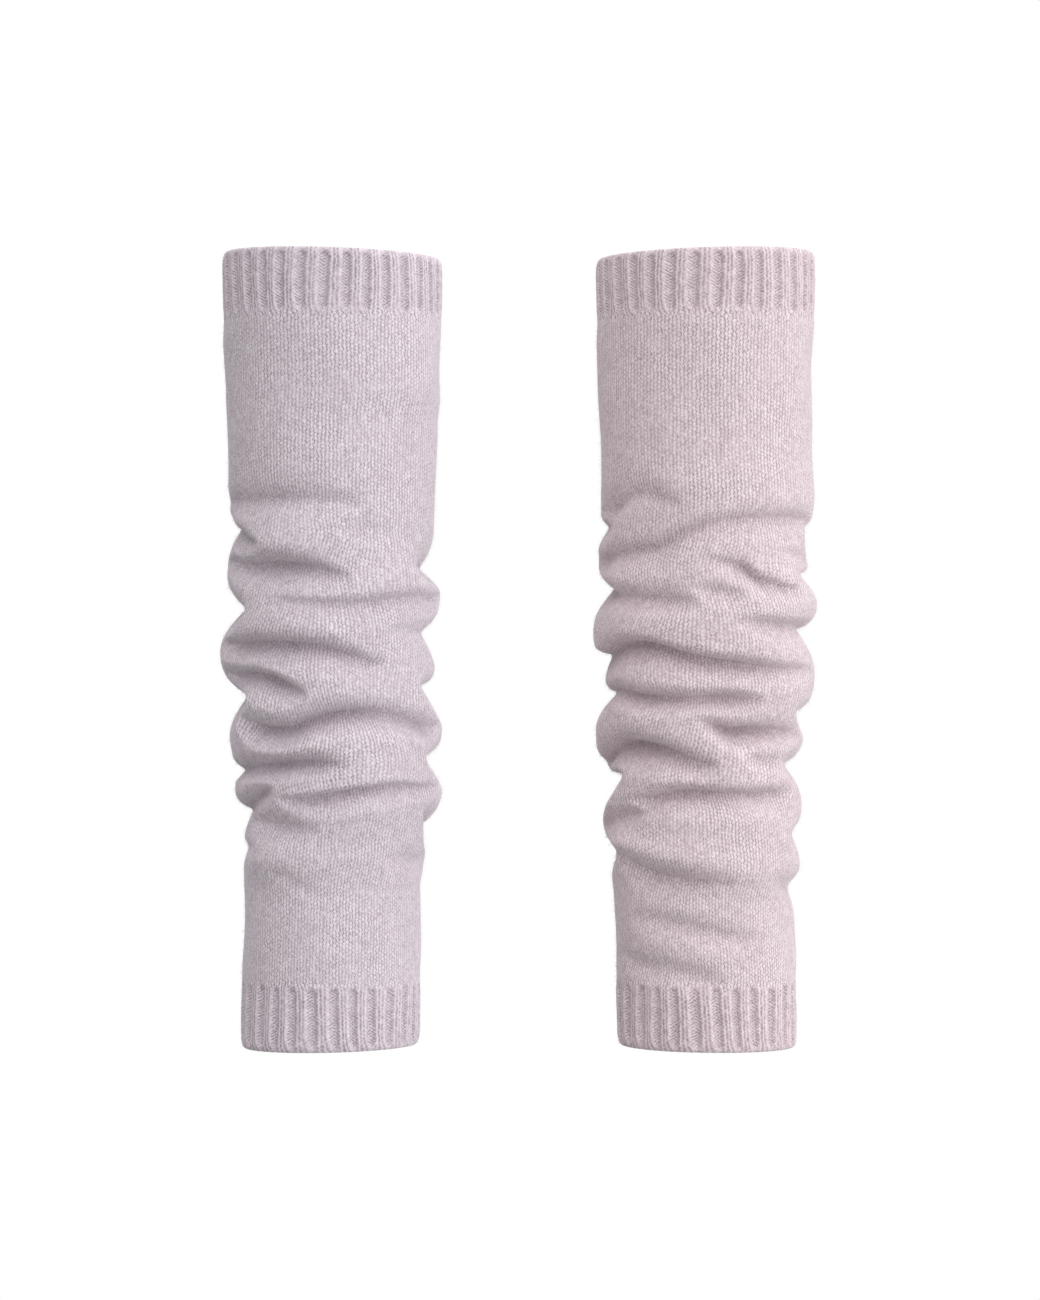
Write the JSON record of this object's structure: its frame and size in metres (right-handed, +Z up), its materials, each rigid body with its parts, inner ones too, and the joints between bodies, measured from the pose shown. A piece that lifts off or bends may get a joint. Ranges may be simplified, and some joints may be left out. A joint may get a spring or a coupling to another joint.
{
  "type": "pair of arm warmers",
  "caption": "Pair of soft rib-cuffed knitted arm warmers, open tubes filled out and slouched in folds along the forearm, held upright side by side.",
  "frame": {"origin": "middle of the left warmer's upper cuff, on the axis of the arm that it grips", "axes": "+Z up along the arm to the upper cuff's rim, +X from the left warmer to the right one, the front faces -Y"},
  "size_m": [0.2579, 0.0905, 0.3445],
  "materials": {
    "lilac_knit": "brushed lilac-grey knit, soft and matt",
    "rose_knit": "brushed rose-grey knit, soft and matt"
  },
  "bodies": {
    "root": {"left_upper_cuff": "lilac_knit", "left_body": "lilac_knit", "left_lower_cuff": "lilac_knit", "right_upper_cuff": "rose_knit", "right_body": "rose_knit", "right_lower_cuff": "rose_knit"}
  },
  "joints": []
}
